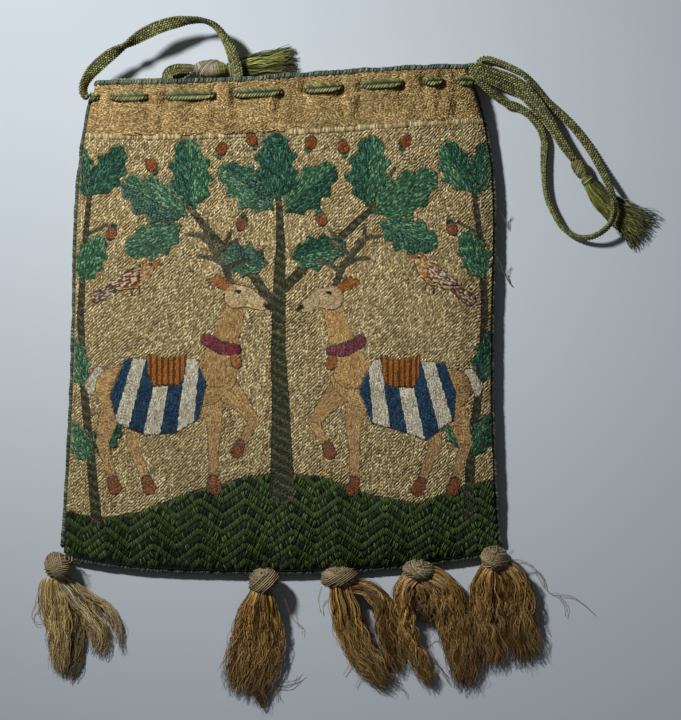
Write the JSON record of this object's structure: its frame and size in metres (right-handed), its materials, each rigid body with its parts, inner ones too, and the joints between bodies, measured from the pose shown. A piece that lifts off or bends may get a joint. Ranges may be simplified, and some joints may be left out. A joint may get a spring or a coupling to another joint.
{
  "type": "embroidered drawstring bag",
  "caption": "Flat embroidered silk purse lying on its back, with a drawstring mouth, braided pulls and silk tassels along its bottom edge.",
  "frame": {"origin": "centre of the flat resting face of the bag's back, on the table", "axes": "+X towards the right side of the front, +Y towards the mouth, +Z out of the table, up through the front"},
  "size_m": [0.2079, 0.2291, 0.0146],
  "materials": {
    "stitched_linen": "matte",
    "plain_linen": "matte",
    "golden_silk": "satin",
    "thin_silk": "satin",
    "green_whipping": "matte",
    "dark_green_thread": "matte",
    "green_braid": "satin",
    "pale_thread": "matte",
    "green_floss": "satin",
    "golden_brown_floss": "satin"
  },
  "bodies": {
    "bag": {"front_panel": "stitched_linen", "back_panel": "plain_linen", "lining": "thin_silk", "header_front": "golden_silk", "header_back": "golden_silk", "mouth_binding_front": "green_whipping", "mouth_binding_back": "green_whipping", "side_edging_left": "dark_green_thread", "side_edging_right": "dark_green_thread", "bottom_edging": "dark_green_thread", "drawstring_front_run": "green_braid", "drawstring_back_run": "green_braid", "drawstring_left_arch": "green_braid", "drawstring_left_end": "green_braid", "drawstring_right_loop": "green_braid", "tail_cord_upper": "green_braid", "tail_cord_lower": "green_braid", "left_knot": "pale_thread", "right_neck_wrap": "pale_thread", "tassel_far_left_loop": "dark_green_thread", "tassel_left_loop": "dark_green_thread", "tassel_middle_loop": "dark_green_thread", "tassel_right_loop": "dark_green_thread", "tassel_far_right_loop": "dark_green_thread"},
    "left_tassel": {"left_tassel": "green_floss"},
    "right_tassel": {"right_tassel": "green_floss"},
    "tassel_far_left": {"tassel_far_left_knot": "pale_thread", "tassel_far_left_skirt": "golden_brown_floss"},
    "tassel_left": {"tassel_left_knot": "pale_thread", "tassel_left_skirt": "golden_brown_floss"},
    "tassel_middle": {"tassel_middle_knot": "pale_thread", "tassel_middle_skirt": "golden_brown_floss"},
    "tassel_right": {"tassel_right_knot": "pale_thread", "tassel_right_skirt": "golden_brown_floss"},
    "tassel_far_right": {"tassel_far_right_knot": "pale_thread", "tassel_far_right_skirt": "golden_brown_floss"}
  },
  "joints": [
    {"name": "left_tassel_swing", "type": "hinge", "parent": "bag", "child": "left_tassel", "pos_m": [-0.01562, 0.08572, 0.003], "axis": [0, 0, 1], "range_deg": [0, 70]},
    {"name": "right_tassel_swing", "type": "hinge", "parent": "bag", "child": "right_tassel", "pos_m": [0.10312, 0.04711, 0.00255], "axis": [0, 0, 1], "range_deg": [-20, 40]},
    {"name": "tassel_far_left_swing", "type": "hinge", "parent": "bag", "child": "tassel_far_left", "pos_m": [-0.0746, -0.081, 0.00632], "axis": [-1, 0, 0], "range_deg": [-60, 60]},
    {"name": "tassel_left_swing", "type": "hinge", "parent": "bag", "child": "tassel_left", "pos_m": [-0.0057, -0.0861, 0.00631], "axis": [-1, 0, 0], "range_deg": [-60, 60]},
    {"name": "tassel_middle_swing", "type": "hinge", "parent": "bag", "child": "tassel_middle", "pos_m": [0.0194, -0.0848, 0.00583], "axis": [-1, 0, 0], "range_deg": [-60, 60]},
    {"name": "tassel_right_swing", "type": "hinge", "parent": "bag", "child": "tassel_right", "pos_m": [0.046, -0.0824, 0.00577], "axis": [-1, 0, 0], "range_deg": [-60, 60]},
    {"name": "tassel_far_right_swing", "type": "hinge", "parent": "bag", "child": "tassel_far_right", "pos_m": [0.07139, -0.07845, 0.00652], "axis": [-1, 0, 0], "range_deg": [-60, 60]}
  ]
}
